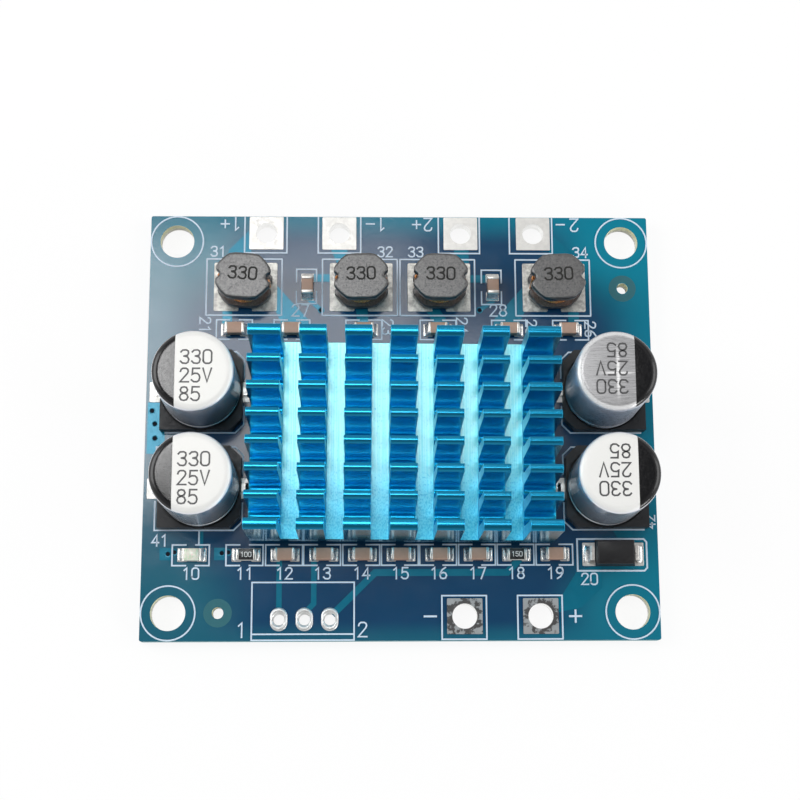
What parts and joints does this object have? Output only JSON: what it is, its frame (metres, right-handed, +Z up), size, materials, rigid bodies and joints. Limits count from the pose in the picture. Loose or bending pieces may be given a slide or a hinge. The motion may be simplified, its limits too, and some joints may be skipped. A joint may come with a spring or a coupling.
{
  "type": "audio amplifier board",
  "caption": "Small two-channel audio power amplifier board with a blue pin-fin heatsink, can capacitors, drum inductors and wire pads.",
  "frame": {"origin": "centre of the board's underside, on the surface that it lies on", "axes": "+Z up out of the component side, +X along the long edge, +Y towards the loudspeaker wire pads"},
  "size_m": [0.052, 0.044, 0.0125],
  "materials": {
    "board": "blue solder mask over glass-fibre laminate, pale blue print, tinned lands",
    "heatsink": "blue anodised extrusion with paler milled channels",
    "can": "bright drawn aluminium, top with a dark printed segment",
    "black_plastic": "black moulded plastic",
    "tin": "bright tin plate",
    "ferrite": "matte grey sintered ferrite",
    "copper": "enamelled copper wire",
    "ceramic": "tan fired ceramic with tinned ends",
    "resistor": "black glaze with tinned ends",
    "lens": "pale clear lens on a white carrier",
    "adhesive": "grey thermal adhesive"
  },
  "bodies": {
    "root": {"circuit_board": "board", "heatsink": "heatsink", "thermal_adhesive": "adhesive", "amplifier_chip": "black_plastic", "capacitor_rear_left_can": "can", "capacitor_rear_left_base": "black_plastic", "capacitor_rear_left_lead_inner": "tin", "capacitor_rear_left_lead_outer": "tin", "capacitor_front_left_can": "can", "capacitor_front_left_base": "black_plastic", "capacitor_front_left_lead_inner": "tin", "capacitor_front_left_lead_outer": "tin", "capacitor_rear_right_can": "can", "capacitor_rear_right_base": "black_plastic", "capacitor_rear_right_lead_inner": "tin", "capacitor_rear_right_lead_outer": "tin", "capacitor_front_right_can": "can", "capacitor_front_right_base": "black_plastic", "capacitor_front_right_lead_inner": "tin", "capacitor_front_right_lead_outer": "tin", "inductor_1_core": "ferrite", "inductor_1_winding": "copper", "inductor_1_terminal_left": "tin", "inductor_1_terminal_right": "tin", "inductor_2_core": "ferrite", "inductor_2_winding": "copper", "inductor_2_terminal_left": "tin", "inductor_2_terminal_right": "tin", "inductor_3_core": "ferrite", "inductor_3_winding": "copper", "inductor_3_terminal_left": "tin", "inductor_3_terminal_right": "tin", "inductor_4_core": "ferrite", "inductor_4_winding": "copper", "inductor_4_terminal_left": "tin", "inductor_4_terminal_right": "tin", "ceramic_capacitor_01": "ceramic", "ceramic_capacitor_02": "ceramic", "ceramic_capacitor_03": "ceramic", "ceramic_capacitor_04": "ceramic", "ceramic_capacitor_05": "ceramic", "ceramic_capacitor_06": "ceramic", "ceramic_capacitor_07": "ceramic", "ceramic_capacitor_08": "ceramic", "ceramic_capacitor_09": "ceramic", "ceramic_capacitor_10": "ceramic", "ceramic_capacitor_11": "ceramic", "ceramic_capacitor_12": "ceramic", "ceramic_capacitor_13": "ceramic", "ceramic_capacitor_14": "ceramic", "ceramic_capacitor_15": "ceramic", "resistor_1": "resistor", "resistor_2": "resistor", "indicator_lamp": "lens", "diode_body": "black_plastic", "diode_lead_left": "tin", "diode_lead_right": "tin"}
  },
  "joints": []
}
